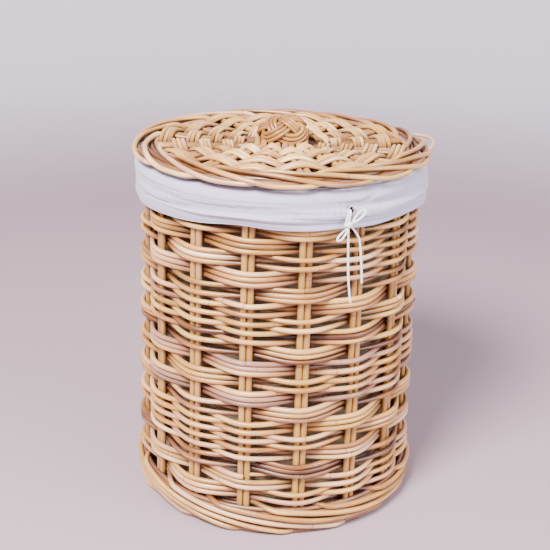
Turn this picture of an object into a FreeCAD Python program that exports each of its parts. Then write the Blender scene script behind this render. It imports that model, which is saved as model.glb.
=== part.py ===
import FreeCAD
import Part
import math
import os

# Round woven rattan laundry basket with a lift-off lid and a drawstring cotton liner.
# Millimetres, +Z up, origin on the floor at the middle of the basket.

# Driving dimensions
CANE = 8.8                # diameter of the upright and lid canes
PAIR = 4.7                # half distance between the two canes of a pair
LAYER = 4.7               # half distance between the two crossing layers
ARMS = 16                 # double uprights, and double spokes of the lid
CLEAR = 0.4               # gap left between neighbouring pieces

STAKE_R = 187.0           # circle the uprights stand on
WALL_IN = 175.4
WALL_OUT = 198.6
BASE_Z = 21.0             # middle of the woven bottom
WOVEN_T = 14.8            # thickness of the flat weaving, bottom and lid
WOVEN_T_MIDDLE = 19.8     # thicker where the crossing pairs are still in two layers
WOVEN_SPLIT = 116.0       # the thicker part ends here
WOVEN_EDGE = 1.5          # bevel around the flat weaving
BASE_WEAVE_R = 170.0
BORE_OVERRUN = 15.0       # how far a hole is cut past the weaving it goes through
BEND_R = 16.0             # bend of each upright where the bottom meets the wall
SPREAD_R = 14.0           # bend of each arm where it leaves the crossing
FOOT_BORDER_H = 14.6
FOOT_FLAT = 7.0           # half width of the flat that the border rests on
FOOT_WALE_TOP = 38.0
WALE_ROWS = 3             # heavier rows that hug the outside of the uprights' bend
WALE_GAP = 0.8
WALE_BULGE = 1.5
WEAVE_TOP = 456.0
BANDS = 10                # the wall weave, in bands of six rows
ROWS = 6
ROW_BULGE = 1.3

RIM_Z = 469.8
RIM_R = 189.0
RIM_HALF_W = 13.6
RIM_HALF_H = 13.5
STAKE_TOP = 468.0

CLOTH = 1.5               # liner thickness
LINER_R = 173.2           # middle of the cloth inside the basket
LINER_FLOOR = 32.2
CUFF_R = 204.6            # middle of the cloth outside the rim
HEM_Z = 434.0
HEM_TURN = 7.0            # height of the turned-in hem
HEM_TUCK = 2.4            # how far the hem turns in

CORD = 2.6                # drawstring
CORD_R = 201.3
CORD_Z = 460.0
BOW_AZ = -66.5            # the bow hangs at the front, toward +X
EYELET_ACROSS = 4.6       # the eyelet is a little to the right of the knot
EYELET_R = 5.0
EYELET_GAP = 1.8          # half of the ring's opening at the eyelet, degrees
KNOT_Z = 444.0
KNOT_R = 4.4
KNOT_OUT = 3.4
KNOT_SQUASH = (1.25, 1.2, 1.0)
LEAD_HALF = 2.1           # half distance between the two ends that leave the eyelet
LEAD_BEND_R = 4.0
LOOP_HALF = 8.9           # half width of a bow loop
LOOP_START = 5.6          # the loop leaves the knot here
LOOP_SHOULDER = 11.2      # and is at its full width from here on
LOOP_REACH = 29.2         # from the knot's middle to the loop's far end
LOOP_OUT = 9.6            # the loops stand off the cuff

LID_Z = 497.0             # middle of the lid weave
LID_BORDER_IN = 172.0
LID_R = 209.0
LID_BORDER_HALF_H = 10.0
LOCATE_IN = 156.0         # ring under the lid that keeps it centred in the mouth
LOCATE_OUT = 168.0
LOCATE_H = 16.0
LOCATE_BEVEL = 3.0
SLATH_R = 62.0            # the crossing of the pairs ends here and the weaving starts
KNOB_R = 37.5
KNOB_TOP = 539.0
KNOB_SHOULDER = 0.74      # radius where the cap starts, as a share of the knob's
KNOB_CAP_H = 7.5
KNOB_HOLLOW_R = 22.0
KNOB_ROOF = 14.0          # thickness above the hollow
KNOB_CORE_R = 17.0
LASHING = 4.5             # canes that tie the knob down
LASHING_AZ = (-14.0, -5.0, 4.0)
LASHING_BEND_R = 14.0


os.makedirs("parts", exist_ok=True)


def vec(x, y, z=0.0):
    return FreeCAD.Vector(x, y, z)


def polar(radius, degrees, z=0.0):
    a = math.radians(degrees)
    return vec(radius * math.cos(a), radius * math.sin(a), z)


def save(name, shape):
    shape.exportStep("parts/" + name + ".step")


def compound(shapes):
    return Part.makeCompound(shapes)


def tube(points, radii, diameter):
    """A round rod along straight runs joined by tangent arcs, with its length."""
    edges = []
    start = points[0]
    for i in range(1, len(points) - 1):
        corner = points[i]
        back = (points[i - 1] - corner).normalize()
        ahead = (points[i + 1] - corner).normalize()
        turn = math.pi - back.getAngle(ahead)
        radius = radii[i - 1]
        reach = radius * math.tan(turn / 2.0)
        first = corner + back * reach
        last = corner + ahead * reach
        inward = (back + ahead).normalize()
        middle = corner + inward * (radius / math.cos(turn / 2.0) - radius)
        edges.append(Part.makeLine(start, first))
        edges.append(Part.Arc(first, middle, last).toShape())
        start = last
    edges.append(Part.makeLine(start, points[-1]))
    path = Part.Wire(edges)
    heading = (points[1] - points[0]).normalize()
    ring = Part.Wire([Part.makeCircle(diameter / 2.0, points[0], heading)])
    sweep = Part.BRepOffsetAPI.MakePipeShell(path)
    sweep.setFrenetMode(False)
    sweep.add(ring)
    sweep.build()
    sweep.makeSolid()
    solid = sweep.shape()
    expected = math.pi * diameter * diameter / 4.0 * path.Length
    if abs(solid.Volume - expected) > 0.01 * expected:
        raise ValueError("a rod came out with the wrong volume")
    return solid, path.Length


def cord(name, points, diameter):
    """A hanging cord: each bend radius follows from the shorter run beside it."""
    radii = []
    for i in range(1, len(points) - 1):
        back = points[i - 1] - points[i]
        ahead = points[i + 1] - points[i]
        turn = math.pi - back.getAngle(ahead)
        shorter = min(back.Length, ahead.Length)
        radii.append(0.45 * shorter / math.tan(turn / 2.0))
    solid, length = tube(points, radii, diameter)
    rounded = ", ".join("%.1f" % r for r in radii)
    print("%s: length %.1f mm, arc radii %s mm" % (name, length, rounded))
    return solid


def revolved(edges):
    """A solid of revolution about Z from a closed outline in the XZ plane."""
    face = Part.Face(Part.Wire(edges))
    return face.revolve(vec(0, 0, 0), vec(0, 0, 1), 360.0)


def outline(points):
    closed = points + [points[0]]
    edges = []
    for a, b in zip(closed[:-1], closed[1:]):
        edges.append(Part.makeLine(a, b))
    return edges


def slot(angle, z0, z1):
    """The round-ended hole a pair of uprights passes through."""
    radius = CANE / 2.0 + CLEAR
    block = Part.makeBox(2.0 * radius, 2.0 * PAIR, z1 - z0, vec(-radius, -PAIR, z0))
    left = Part.makeCylinder(radius, z1 - z0, vec(0, -PAIR, z0))
    right = Part.makeCylinder(radius, z1 - z0, vec(0, PAIR, z0))
    hole = block.multiFuse([left, right]).removeSplitter()
    hole.translate(vec(STAKE_R, 0, 0))
    hole.rotate(vec(0, 0, 0), vec(0, 0, 1), angle)
    return hole


def arm_angle(k):
    return 360.0 / ARMS * (k + 0.5)


def slots(z0, z1):
    return [slot(arm_angle(k), z0, z1) for k in range(ARMS)]


# ---------------------------------------------------------------- crossing pairs

def cane_route(lane, side, turned, level, outer, rise):
    """Corner points of one cane that crosses the middle and leaves as two arms.

    lane counts the four pairs side by side, side is the cane within its pair, turned
    pairs cross over the others, outer is the radius where the arm ends or bends up."""
    offset = (lane - 1.5) * 4.0 * PAIR
    fan = (lane - 1.5) * 360.0 / ARMS
    corner_x = offset / math.tan(math.radians(fan))
    shift = side * PAIR
    points = []
    a = math.radians(fan)
    along = vec(math.cos(a), math.sin(a), 0)
    across = vec(-math.sin(a), math.cos(a), 0)
    near = vec(corner_x - shift * math.tan(a / 2.0), offset + shift, level[0])
    far = along * outer + across * shift + vec(0, 0, level[1])
    if rise:
        points.append(vec(far.x, far.y, rise))
    points.append(far)
    points.append(near)
    mirrored = [vec(-p.x, p.y, p.z) for p in reversed(points)]
    route = points + mirrored
    if turned:
        route = [vec(-p.y, p.x, p.z) for p in route]
    return route


def crossing_pair(index, middle, outer, rise):
    """Two canes side by side, as separate solids, and the ends of their arms."""
    lane = index % 4
    turned = index >= 4
    z = middle + (LAYER if turned else -LAYER)
    canes = []
    runs = []
    for side in (-1.0, 1.0):
        route = cane_route(lane, side, turned, (z, middle), outer, rise)
        radii = [SPREAD_R, SPREAD_R]
        if rise:
            radii = [BEND_R, SPREAD_R, SPREAD_R, BEND_R]
        canes.append(tube(route, radii, CANE)[0])
        first = 1 if rise else 0
        runs.append((route[first], route[first + 1]))
        runs.append((route[-1 - first], route[-2 - first]))
    return canes, runs


def run_bore(run):
    """The hole around the straight part of an arm."""
    far, near = run
    heading = (far - near).normalize()
    length = (far - near).Length
    start = near - heading * BORE_OVERRUN
    return Part.makeCylinder(CANE / 2.0 + CLEAR, length + 2.0 * BORE_OVERRUN, start, heading)


def woven_disc(inner, outer, middle, thickness, runs):
    """A flat ring of radial weaving with the arms' holes through it."""
    low = middle - thickness / 2.0
    high = middle + thickness / 2.0
    edge = WOVEN_EDGE
    corners = [vec(inner, 0, low + edge), vec(inner + edge, 0, low), vec(outer - edge, 0, low),
               vec(outer, 0, low + edge), vec(outer, 0, high - edge), vec(outer - edge, 0, high),
               vec(inner + edge, 0, high), vec(inner, 0, high - edge)]
    disc = revolved(outline(corners))
    return disc.cut([run_bore(run) for run in runs])


# ---------------------------------------------------------------- bottom and wall

base_runs = []
for i in range(8):
    pair, runs = crossing_pair(i, BASE_Z, STAKE_R, STAKE_TOP)
    base_runs += runs
    save("stake_pair_%02d" % (i + 1), compound(pair))

save("base_weave_inner",
     woven_disc(SLATH_R, WOVEN_SPLIT - CLEAR, BASE_Z, WOVEN_T_MIDDLE, base_runs))
save("base_weave_outer", woven_disc(WOVEN_SPLIT, BASE_WEAVE_R, BASE_Z, WOVEN_T, base_runs))

foot_r = (WALL_IN + WALL_OUT) / 2.0
foot_edges = []
foot_edges.append(Part.makeLine(vec(foot_r - FOOT_FLAT, 0, 0), vec(foot_r + FOOT_FLAT, 0, 0)))
foot_edges.append(Part.Arc(vec(foot_r + FOOT_FLAT, 0, 0), vec(WALL_OUT, 0, FOOT_BORDER_H * 0.5),
                           vec(foot_r + FOOT_FLAT, 0, FOOT_BORDER_H)).toShape())
foot_edges.append(Part.makeLine(vec(foot_r + FOOT_FLAT, 0, FOOT_BORDER_H),
                                vec(foot_r - FOOT_FLAT, 0, FOOT_BORDER_H)))
foot_edges.append(Part.Arc(vec(foot_r - FOOT_FLAT, 0, FOOT_BORDER_H),
                           vec(WALL_IN, 0, FOOT_BORDER_H * 0.5),
                           vec(foot_r - FOOT_FLAT, 0, 0)).toShape())
save("foot_border", revolved(foot_edges))

# the waling
wale_in = STAKE_R + CANE / 2.0 + WALE_GAP
wale_low = FOOT_BORDER_H + CLEAR
wale_high = FOOT_WALE_TOP - CLEAR
wale_edges = []
wale_edges.append(Part.makeLine(vec(wale_in, 0, wale_low), vec(WALL_OUT - WALE_BULGE, 0, wale_low)))
wale_step = (wale_high - wale_low) / WALE_ROWS
for n in range(WALE_ROWS):
    z = wale_low + n * wale_step
    wale_edges.append(Part.Arc(vec(WALL_OUT - WALE_BULGE, 0, z),
                               vec(WALL_OUT, 0, z + wale_step / 2.0),
                               vec(WALL_OUT - WALE_BULGE, 0, z + wale_step)).toShape())
wale_edges.append(Part.makeLine(vec(WALL_OUT - WALE_BULGE, 0, wale_high), vec(wale_in, 0, wale_high)))
wale_edges.append(Part.makeLine(vec(wale_in, 0, wale_high), vec(wale_in, 0, wale_low)))
save("foot_wale", revolved(wale_edges))

# one band of weaving: six rounded rows, open where the uprights pass
band_pitch = (WEAVE_TOP - FOOT_WALE_TOP) / BANDS
band_high = band_pitch - CLEAR
row = band_high / ROWS
band_edges = []
band_edges.append(Part.makeLine(vec(WALL_IN + ROW_BULGE, 0, 0), vec(WALL_OUT - ROW_BULGE, 0, 0)))
for n in range(ROWS):
    z = n * row
    band_edges.append(Part.Arc(vec(WALL_OUT - ROW_BULGE, 0, z),
                               vec(WALL_OUT, 0, z + row / 2.0),
                               vec(WALL_OUT - ROW_BULGE, 0, z + row)).toShape())
band_edges.append(Part.makeLine(vec(WALL_OUT - ROW_BULGE, 0, band_high),
                                vec(WALL_IN + ROW_BULGE, 0, band_high)))
for n in range(ROWS):
    z = band_high - n * row
    band_edges.append(Part.Arc(vec(WALL_IN + ROW_BULGE, 0, z),
                               vec(WALL_IN, 0, z - row / 2.0),
                               vec(WALL_IN + ROW_BULGE, 0, z - row)).toShape())
band = revolved(band_edges).cut(slots(-1.0, band_high + 1.0))
for n in range(BANDS):
    copy = band.copy()
    copy.translate(vec(0, 0, FOOT_WALE_TOP + n * band_pitch))
    save("weave_band_%02d" % (n + 1), copy)

# rolled border on top of the wall, with blind holes for the ends of the uprights
rim_ellipse = Part.Ellipse(vec(0, 0, 0), RIM_HALF_W, RIM_HALF_H).toShape()
rim_ellipse.rotate(vec(0, 0, 0), vec(1, 0, 0), 90.0)
rim_ellipse.translate(vec(RIM_R, 0, RIM_Z))
rim = revolved([rim_ellipse]).cut(slots(WEAVE_TOP - 2.0, STAKE_TOP + CLEAR))
save("rim_border", rim)

# ---------------------------------------------------------------- liner and drawstring

# the bag, folded over the rim and hanging outside as a cuff; its hem turns in
half = CLOTH / 2.0
fold_z = RIM_Z
fold_mid = (LINER_R + CUFF_R) / 2.0
fold_r = (CUFF_R - LINER_R) / 2.0
side_low = LINER_FLOOR + half + CLEAR
tuck_r = CUFF_R - HEM_TUCK
tuck_z = HEM_Z + HEM_TURN
liner_edges = []
liner_edges.append(Part.makeLine(vec(LINER_R - half, 0, side_low),
                                 vec(LINER_R - half, 0, fold_z)))
liner_edges.append(Part.Arc(vec(LINER_R - half, 0, fold_z),
                            vec(fold_mid, 0, fold_z + fold_r + half),
                            vec(CUFF_R + half, 0, fold_z)).toShape())
liner_edges.append(Part.makeLine(vec(CUFF_R + half, 0, fold_z), vec(CUFF_R + half, 0, tuck_z)))
liner_edges.append(Part.makeLine(vec(CUFF_R + half, 0, tuck_z), vec(tuck_r + half, 0, HEM_Z)))
liner_edges.append(Part.makeLine(vec(tuck_r + half, 0, HEM_Z), vec(tuck_r - half, 0, HEM_Z)))
liner_edges.append(Part.makeLine(vec(tuck_r - half, 0, HEM_Z), vec(CUFF_R - half, 0, tuck_z)))
liner_edges.append(Part.makeLine(vec(CUFF_R - half, 0, tuck_z), vec(CUFF_R - half, 0, fold_z)))
liner_edges.append(Part.Arc(vec(CUFF_R - half, 0, fold_z),
                            vec(fold_mid, 0, fold_z + fold_r - half),
                            vec(LINER_R + half, 0, fold_z)).toShape())
liner_edges.append(Part.makeLine(vec(LINER_R + half, 0, fold_z), vec(LINER_R + half, 0, side_low)))
liner_edges.append(Part.makeLine(vec(LINER_R + half, 0, side_low),
                                 vec(LINER_R - half, 0, side_low)))
liner = revolved(liner_edges)
eyelet_az = BOW_AZ + math.degrees(EYELET_ACROSS / CUFF_R)
eyelet = Part.makeCylinder(EYELET_R, 12.0, vec(CUFF_R - 6.0, 0, CORD_Z), vec(1, 0, 0))
eyelet.rotate(vec(0, 0, 0), vec(0, 0, 1), eyelet_az)
liner = liner.cut(eyelet)
save("liner_side", liner)

liner_floor = Part.makeCylinder(LINER_R + half, CLOTH, vec(0, 0, LINER_FLOOR - half))
save("liner_base", liner_floor)

# drawstring in the space behind the cuff, open at the eyelet
ring_section = Part.Face(Part.Wire([Part.makeCircle(CORD / 2.0, vec(CORD_R, 0, CORD_Z),
                                                    vec(0, 1, 0))]))
ring = ring_section.revolve(vec(0, 0, 0), vec(0, 0, 1), 360.0 - 2.0 * EYELET_GAP)
ring.rotate(vec(0, 0, 0), vec(0, 0, 1), eyelet_az + EYELET_GAP)
save("drawstring_ring", ring)

front_r = CUFF_R + half + CORD / 2.0 + 1.5


def bow_point(across, z, out=0.0):
    """A point on the flat in front of the cuff where the bow hangs."""
    point = vec(front_r + out, across, z)
    a = math.radians(BOW_AZ)
    c = math.cos(a)
    s = math.sin(a)
    return vec(point.x * c - point.y * s, point.x * s + point.y * c, z)


# the two ends come out of the eyelet side by side and run down into the knot
leads = []
for side in (-1.0, 1.0):
    across = EYELET_ACROSS + side * LEAD_HALF
    start = bow_point(across, CORD_Z + 0.3, CORD_R + 1.0 - front_r)
    corner = bow_point(across, CORD_Z, 1.0)
    end = bow_point(side * 1.9, KNOT_Z + 5.0, 2.6)
    lead, lead_length = tube([start, corner, end], [LEAD_BEND_R], CORD)
    leads.append(lead)
print("drawstring_leads: length %.1f mm each" % lead_length)
save("drawstring_leads", compound(leads))

knot = Part.makeSphere(KNOT_R)
squash = FreeCAD.Matrix()
squash.scale(KNOT_SQUASH[0], KNOT_SQUASH[1], KNOT_SQUASH[2])
knot = knot.transformGeometry(squash)
knot.translate(vec(front_r + KNOT_OUT, 0, KNOT_Z))
knot.rotate(vec(0, 0, 0), vec(0, 0, 1), BOW_AZ)
save("bow_knot", knot)


def loop_points(side, tilt, twist):
    """Corners of one bow loop leaving the knot and coming back to it.

    tilt turns it in the plane of the cuff, twist turns it about its own length."""
    t = math.radians(tilt)
    w = math.radians(twist)
    flat = [(LOOP_START, 1.7), (LOOP_SHOULDER, LOOP_HALF), (LOOP_REACH, LOOP_HALF),
            (LOOP_REACH, -LOOP_HALF), (LOOP_SHOULDER, -LOOP_HALF), (LOOP_START, -1.7)]
    points = []
    for along, across in flat:
        level = across * math.cos(w)
        right = along * math.cos(t) - level * math.sin(t)
        rise = along * math.sin(t) + level * math.cos(t)
        out = LOOP_OUT + across * math.sin(w)
        points.append(bow_point(side * right, KNOT_Z + rise, out))
    return points


save("bow_loop_left", cord("bow_loop_left", loop_points(-1.0, -56.0, -64.0), CORD))
save("bow_loop_right", cord("bow_loop_right", loop_points(1.0, 40.0, 60.0), CORD))

long_tail = [bow_point(-0.6, KNOT_Z - 5.5, 1.8), bow_point(-2.6, KNOT_Z - 30.0, 1.2),
             bow_point(-1.4, KNOT_Z - 56.0, 0.9), bow_point(-0.4, KNOT_Z - 81.0, 1.2),
             bow_point(2.6, KNOT_Z - 104.0, 1.9)]
save("drawstring_tail_long", cord("drawstring_tail_long", long_tail, CORD))

short_tail = [bow_point(3.8, KNOT_Z - 4.6, 1.8), bow_point(11.6, KNOT_Z - 19.0, 1.2),
              bow_point(15.4, KNOT_Z - 39.0, 0.9), bow_point(17.6, KNOT_Z - 60.0, 1.2),
              bow_point(17.2, KNOT_Z - 80.0, 1.9)]
save("drawstring_tail_short", cord("drawstring_tail_short", short_tail, CORD))

# ---------------------------------------------------------------- lid

lid_runs = []
arm_end = LID_BORDER_IN - 1.0
for i in range(8):
    pair, runs = crossing_pair(i, LID_Z, arm_end, None)
    lid_runs += runs
    save("lid_arm_pair_%02d" % (i + 1), compound(pair))

save("lid_weave_inner",
     woven_disc(SLATH_R, WOVEN_SPLIT - CLEAR, LID_Z, WOVEN_T_MIDDLE, lid_runs))
save("lid_weave_outer",
     woven_disc(WOVEN_SPLIT, LID_BORDER_IN - CLEAR, LID_Z, WOVEN_T, lid_runs))

border_mid = (LID_BORDER_IN + LID_R) / 2.0
border_half = (LID_R - LID_BORDER_IN) / 2.0
border_ellipse = Part.Ellipse(vec(0, 0, 0), border_half, LID_BORDER_HALF_H).toShape()
border_ellipse.rotate(vec(0, 0, 0), vec(1, 0, 0), 90.0)
border_ellipse.translate(vec(border_mid, 0, LID_Z))
save("lid_border", revolved([border_ellipse]))

# the locating ring
locate_high = LID_Z - WOVEN_T / 2.0 - CLEAR
locate_low = locate_high - LOCATE_H
bevel_z = locate_low + LOCATE_BEVEL
locate = revolved(outline([vec(LOCATE_IN, 0, bevel_z),
                           vec(LOCATE_IN + LOCATE_BEVEL, 0, locate_low),
                           vec(LOCATE_OUT - LOCATE_BEVEL, 0, locate_low),
                           vec(LOCATE_OUT, 0, bevel_z),
                           vec(LOCATE_OUT, 0, locate_high),
                           vec(LOCATE_IN, 0, locate_high)]))
save("lid_locating_ring", locate)

# domed knob, hollow underneath around its core
knob_low = LID_Z + LAYER + CANE / 2.0 + CLEAR
shoulder_r = KNOB_R * KNOB_SHOULDER
shoulder_z = KNOB_TOP - KNOB_CAP_H
hollow_z = KNOB_TOP - KNOB_ROOF
cap_r = (shoulder_r ** 2 + KNOB_CAP_H ** 2) / (2.0 * KNOB_CAP_H)
cap_half = math.asin(shoulder_r / cap_r) / 2.0
cap_mid = vec(cap_r * math.sin(cap_half), 0, KNOB_TOP - cap_r + cap_r * math.cos(cap_half))
foot_of_side = vec(KNOB_R - 3.0, 0, knob_low)
side_mid = vec(KNOB_R - 0.6, 0, knob_low + 14.0)
shoulder = vec(shoulder_r, 0, shoulder_z)
knob_edges = outline([vec(0, 0, KNOB_TOP), vec(0, 0, hollow_z), vec(KNOB_HOLLOW_R, 0, hollow_z),
                      vec(KNOB_HOLLOW_R, 0, knob_low), foot_of_side])[:-1]
knob_edges.append(Part.Arc(foot_of_side, side_mid, shoulder).toShape())
knob_edges.append(Part.Arc(shoulder, cap_mid, vec(0, 0, KNOB_TOP)).toShape())
save("lid_knob", revolved(knob_edges))

save("lid_knob_core",
     Part.makeCylinder(KNOB_CORE_R, hollow_z - 1.0 - knob_low, vec(0, 0, knob_low)))

# three canes leave the knob on one side and go down through the weave
lashings = []
for angle in LASHING_AZ:
    start = polar(KNOB_R + 3.2, angle, knob_low + 10.0)
    knee = polar(KNOB_R + 12.0, angle, knob_low + 4.4)
    end = polar(KNOB_R + 19.5, angle, knob_low + 2.6)
    lashings.append(tube([start, knee, end], [LASHING_BEND_R], LASHING)[0])
save("lid_knob_lashing", compound(lashings))
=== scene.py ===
import math
from functools import partial

import bpy
import numpy as np
from mathutils import Matrix, Vector


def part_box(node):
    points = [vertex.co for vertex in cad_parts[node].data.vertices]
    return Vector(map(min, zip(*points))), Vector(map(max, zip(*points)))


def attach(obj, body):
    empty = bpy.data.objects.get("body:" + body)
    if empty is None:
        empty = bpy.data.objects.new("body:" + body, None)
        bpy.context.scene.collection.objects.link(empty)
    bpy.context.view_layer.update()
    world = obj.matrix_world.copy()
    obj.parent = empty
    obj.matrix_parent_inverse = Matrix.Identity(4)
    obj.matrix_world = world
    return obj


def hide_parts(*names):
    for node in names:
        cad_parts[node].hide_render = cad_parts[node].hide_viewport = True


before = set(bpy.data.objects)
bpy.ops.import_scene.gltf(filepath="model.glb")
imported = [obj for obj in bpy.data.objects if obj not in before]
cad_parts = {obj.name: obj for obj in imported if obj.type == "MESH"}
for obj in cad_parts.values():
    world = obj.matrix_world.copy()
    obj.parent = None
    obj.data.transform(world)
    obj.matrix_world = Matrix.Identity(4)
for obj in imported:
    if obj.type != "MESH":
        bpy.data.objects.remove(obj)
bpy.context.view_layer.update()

rng = np.random.default_rng(7)
TAU = 2.0 * math.pi
UP = (0.0, 0.0, 1.0)

# ---------------- sizes, in metres


def low(cad_node):
    """Lower corner of a CAD node's box."""
    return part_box(cad_node)[0]


def high(cad_node):
    """Upper corner of a CAD node's box."""
    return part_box(cad_node)[1]


def middle_z(cad_node):
    return (low(cad_node)[2] + high(cad_node)[2]) / 2.0


# arms and uprights: canes in pairs, which cross in the middle in two layers
ARMS = 16
CANE = 0.0085
PAIR = 0.0044
LANE = 0.0188
LAYER = 0.0047
CORNER_R = 0.016
FAN_R = 0.020
STAKE_R = 0.187
STAKE_TOP = high("stake_pair_01")[2]
BASE_Z = middle_z("base_weave_outer")
BASE_OUT = 0.1715
BEND_Z = 0.04

# both discs: where the weave starts, and where its two pieces meet
DISC_IN = 0.062
SPLIT_R = 0.1158

# the wall: twenty groups of three canes
GROUPS = 20
WALL_LOW = low("weave_band_01")[2]
WALL_HIGH = high("weave_band_10")[2]
ROWS_UP = 0.0065
UNDER_CUFF = 0.42
FLARE_TOP = 0.990
FLARE_FOOT = 1.020
FLARE_Z = 0.43
# points in one turn of a wall cane
SAMPLES = 208

# the foot's sweeps, counted in arms, and the rim's roll
FOOT_CANE = 0.0036
FOOT_RISE = WALL_LOW + ROWS_UP - 0.0030
FOOT_SPAN = 4.3
FOOT_OUT = (STAKE_R + CANE / 2.0 + FOOT_CANE + 0.0032) * FLARE_FOOT
RIM_CANE = 0.0030
RIM_R = high("rim_border")[0] - 0.0148
RIM_Z = middle_z("rim_border")
RIM_W = 0.0122
RIM_H = (high("rim_border")[2] - low("rim_border")[2]) / 2.0 - 0.001

# the lid, its border and its knob
LID_Z = middle_z("lid_weave_outer")
DISC_OUT = high("lid_weave_outer")[0]
BORDER_R = high("lid_border")[0]
BORDER_H = (high("lid_border")[2] - low("lid_border")[2]) / 2.0
EDGE_CANE = 0.0037
EDGE_SPAN = 3.5
EDGE_IN = DISC_OUT - 0.0030
EDGE_OUT = BORDER_R - EDGE_CANE - 0.0010
EDGE_TOP = LID_Z + BORDER_H - EDGE_CANE - 0.0002
EDGE_LOW = LID_Z - BORDER_H + EDGE_CANE + 0.0018
KNOB_R = high("lid_knob")[0]
KNOB_LOW = low("lid_knob")[2]
KNOB_TOP = high("lid_knob")[2]
KNOB_CANE = 0.0026
KNOB_MIDDLE = np.array([0.0030, 0.0, 0.0])

# the liner: its fold over the rim runs from FOLD_IN to FOLD_OUT
COLS = 840
CUFF_R = high("liner_side")[0]
HEM_Z = 0.434
FOLD_IN = 0.1732
FOLD_OUT = CUFF_R - 0.0022
FOLD_MID = (FOLD_IN + FOLD_OUT) / 2.0
FOLD_HALF = (FOLD_OUT - FOLD_IN) / 2.0
FOLD_Z = high("liner_side")[2] - FOLD_HALF - 0.0008
BAG_LOW = low("liner_base")[2]
BAG_TOP = FOLD_Z - 0.02
# gap between the bag and the dark painted shade sheet outside it
PAINTED_SHADE_GAP = 0.0012
FLOOR_RINGS = 40

# the drawstring, its eyelet and its bow
CORD = 0.0026
CORD_Z = middle_z("drawstring_ring")
BOW_AZ = math.radians(-65.9)
BOW_R = CUFF_R + CORD / 2.0 + 0.0015
KNOT_Z = middle_z("bow_knot") + 0.0006
EYELET_ACROSS = 0.0064
HOLE_W = 0.0044
HOLE_H = 0.0050
LOOP_HALF = 0.0089
LOOP_START = 0.0056
LOOP_SHOULDER = 0.0112
LOOP_OUT = 0.0096

# ---------------- numbers and points


def unit(x):
    """Limits values to the range from 0 to 1."""
    return np.clip(x, 0.0, 1.0)


def smoothstep(t):
    return t * t * (3.0 - 2.0 * t)


def half_cosine(t):
    """Falls softly from 1 to 0."""
    return (1.0 + np.cos(math.pi * t)) / 2.0


def bump(x, width):
    """A soft bump of height 1 round 0."""
    return np.exp(-(x / width) ** 2)


def unit_rows(vectors):
    return vectors / (np.linalg.norm(vectors, axis=1)[:, None] + 1e-12)


def circle(count):
    """Directions at equal steps round the circle."""
    return np.linspace(0.0, TAU, count + 1)[:-1]


def around(r, theta, z):
    """Points at radius r, direction theta and height z."""
    r, theta, z = np.broadcast_arrays(r, theta, z)
    return np.stack([r * np.cos(theta), r * np.sin(theta), z], axis=-1)


def radius_of(points):
    return np.hypot(points[..., 0], points[..., 1])


def lengths_along(points):
    """Distance of each point from the first, along the line."""
    steps = np.linalg.norm(np.diff(points, axis=0), axis=1)
    return np.concatenate([[0.0], np.cumsum(steps)])


def smooth_field(rows, cols, sigma_rows, sigma_cols, seed):
    """Random field, periodic along its columns, soft over the given number of cells."""
    noise = np.random.default_rng(seed).standard_normal((rows * 2, cols))
    fr = np.fft.fftfreq(rows * 2)[:, None]
    fc = np.fft.fftfreq(cols)[None, :]
    soft = np.exp(-2.0 * math.pi ** 2 * ((fr * sigma_rows) ** 2 + (fc * sigma_cols) ** 2))
    field = np.real(np.fft.ifft2(np.fft.fft2(noise) * soft))[:rows]
    return field / field.std()


def wander(count, softness, seed, closed=False):
    """Soft random walk of unit spread along a cane."""
    size = count if closed else count * 2
    noise = np.random.default_rng(seed).standard_normal(size)
    soft = np.exp(-2.0 * math.pi ** 2 * (np.fft.fftfreq(size) * softness) ** 2)
    line = np.real(np.fft.ifft(np.fft.fft(noise) * soft))[:count]
    return line / (line.std() + 1e-9)


def drawn_tint(source, mean, spread, least):
    return float(np.clip(source.normal(mean, spread), least, 1.0))


def resample(points, spacing):
    """Points at equal distances along the line."""
    points = np.asarray(points, dtype=float)
    s = lengths_along(points)
    t = np.linspace(0.0, s[-1], max(3, int(s[-1] / spacing) + 1))
    return np.stack([np.interp(t, s, points[:, i]) for i in range(3)], axis=1)


def rounded(points, radii, spacing):
    """Straight runs joined by tangent arcs, as a fine list of points."""
    points = [np.asarray(p, dtype=float) for p in points]
    out = [points[0]]
    for before, corner, after, radius in zip(points, points[1:], points[2:], radii):
        back = before - corner
        ahead = after - corner
        back = back / np.linalg.norm(back)
        ahead = ahead / np.linalg.norm(ahead)
        turn = math.pi - math.acos(max(-1.0, min(1.0, float(back @ ahead))))
        reach = radius * math.tan(turn / 2.0)
        inward = back + ahead
        inward /= np.linalg.norm(inward)
        centre = corner + inward * radius / math.cos(turn / 2.0)
        a = corner + back * reach - centre
        b = corner + ahead * reach - centre
        for t in np.linspace(0.0, 1.0, 9):
            v = a * math.sin((1 - t) * turn) + b * math.sin(t * turn)
            out.append(centre + v / math.sin(turn))
    out.append(points[-1])
    return resample(out, spacing)


# ---------------- meshes


def grid_quads(index):
    """Quads of a grid of vertex numbers whose columns close on themselves."""
    beside = np.roll(index, -1, axis=1)
    quads = np.stack([index[:-1], beside[:-1], beside[1:], index[1:]], axis=-1)
    return quads.reshape(-1, 4)


def turned_over(quads):
    """The same quads, facing the other way."""
    return quads[:, [0, 3, 2, 1]]


def fan_quads(loop):
    """Quads that cover a loop; the last triangle stays open if the loop's count is odd."""
    return np.array([[loop[0], loop[i], loop[i + 1], loop[i + 2]]
                     for i in range(1, len(loop) - 2, 2)])


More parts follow.
